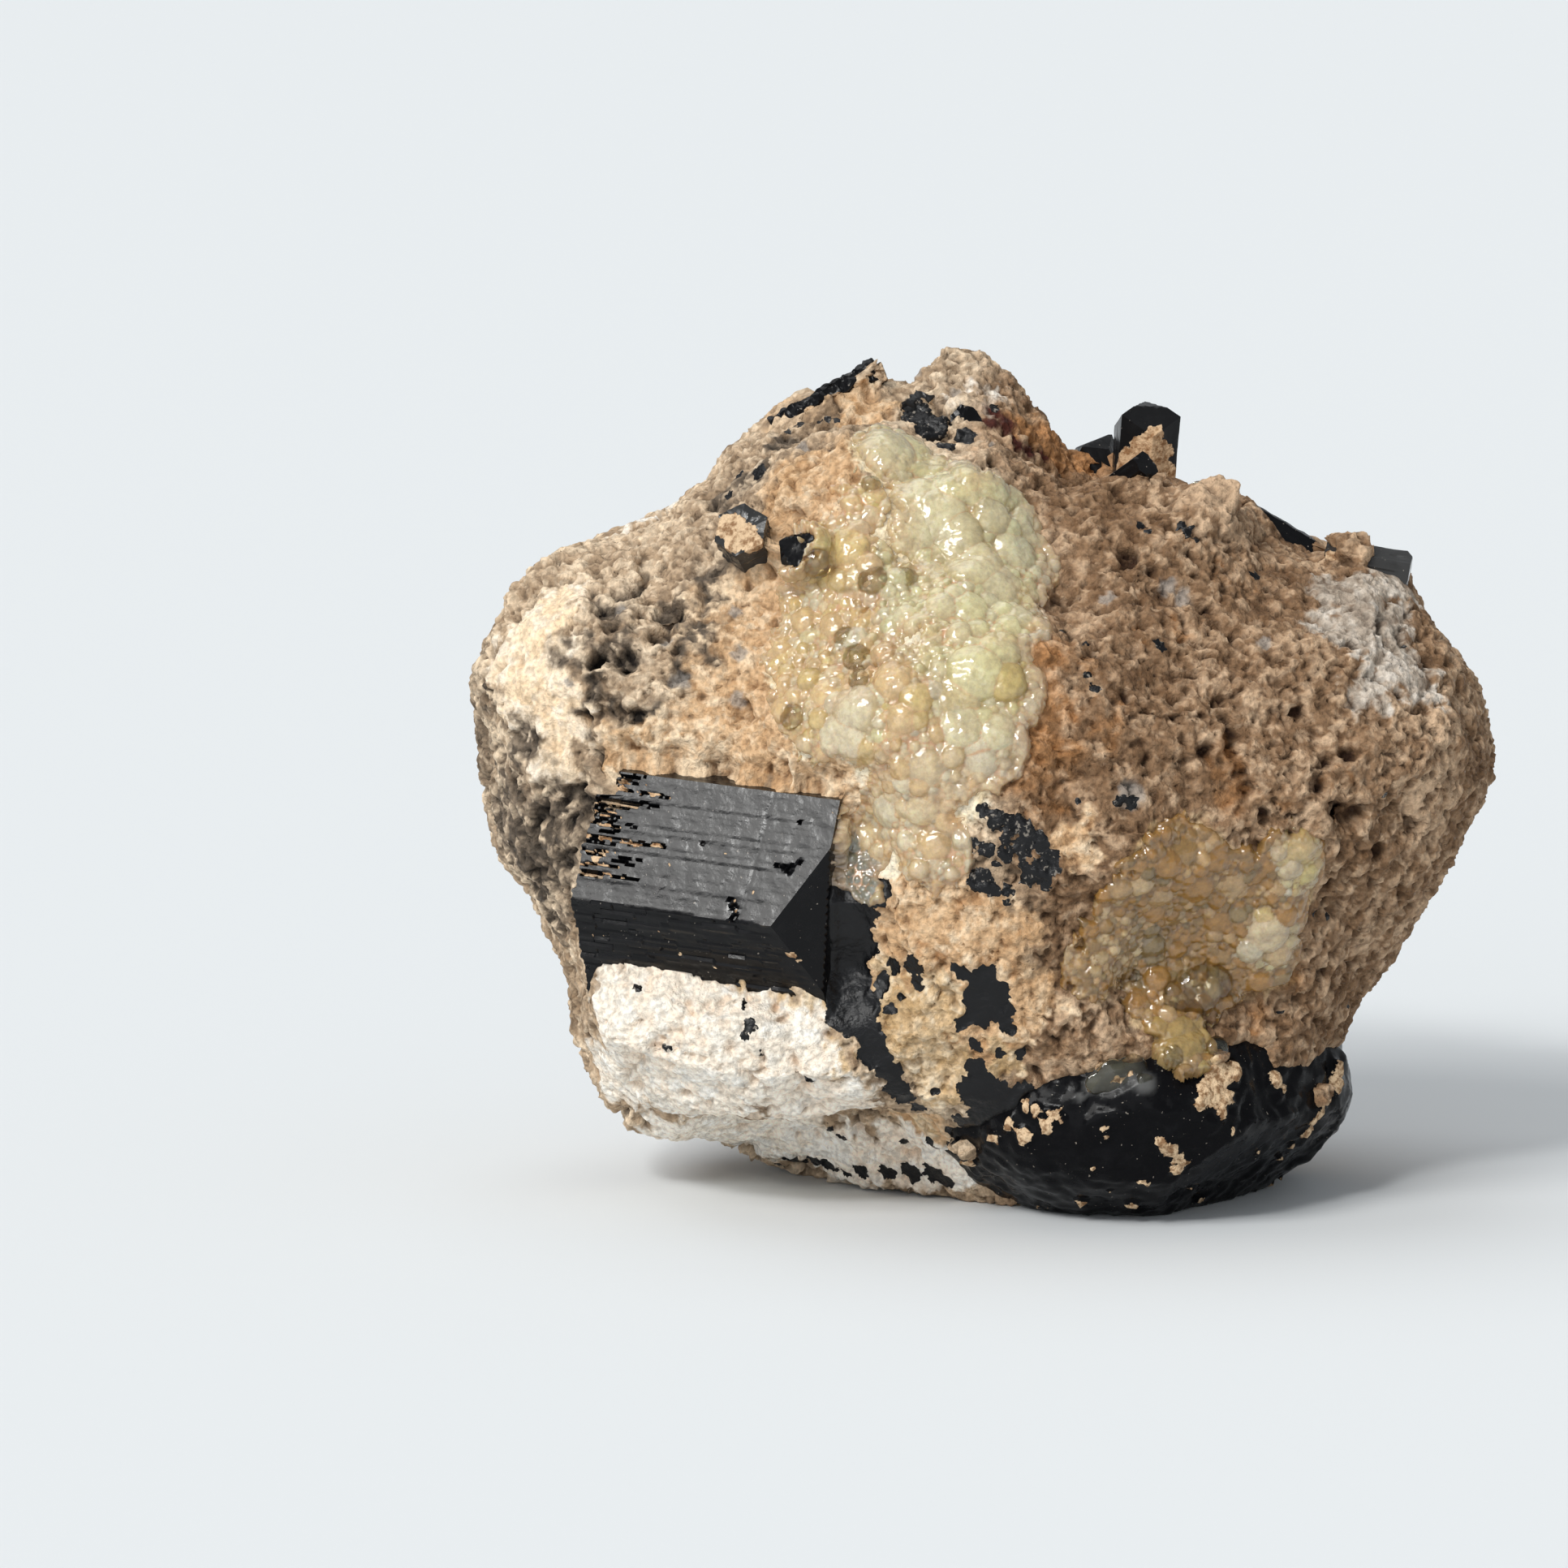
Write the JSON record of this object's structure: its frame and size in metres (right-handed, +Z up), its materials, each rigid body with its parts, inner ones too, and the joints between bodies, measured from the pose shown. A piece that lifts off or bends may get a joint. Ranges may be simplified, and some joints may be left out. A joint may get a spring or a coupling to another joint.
{
  "type": "mineral specimen",
  "caption": "Rough feldspar hand specimen set with black six-sided schorl crystals and crusts of glassy hyalite opal beads, on a flat resting face.",
  "frame": {"origin": "middle of the footprint, on the plane the specimen rests on", "axes": "+Z up, +X to the viewer's right and the longest way, -Y towards the front with the opal crusts and the large crystal"},
  "size_m": [0.0617, 0.0418, 0.0502],
  "materials": {
    "feldspar": "rough, porous, cream to tan",
    "schorl": "glassy black",
    "hyalite": "glassy, milky yellow-green"
  },
  "bodies": {
    "root": {"feldspar_matrix": "feldspar", "base_schorl": "schorl", "main_schorl": "schorl", "standing_schorl": "schorl", "crest_schorl": "schorl", "right_ridge_schorl": "schorl", "right_end_schorl": "schorl", "left_end_schorl": "schorl", "beaded_schorl": "schorl", "ridge_schorl": "schorl", "peak_left_schorl": "schorl", "peak_right_schorl": "schorl", "back_long_schorl": "schorl", "back_short_schorl": "schorl", "upper_hyalite_crust": "hyalite", "lower_hyalite_crust": "hyalite"}
  },
  "joints": []
}
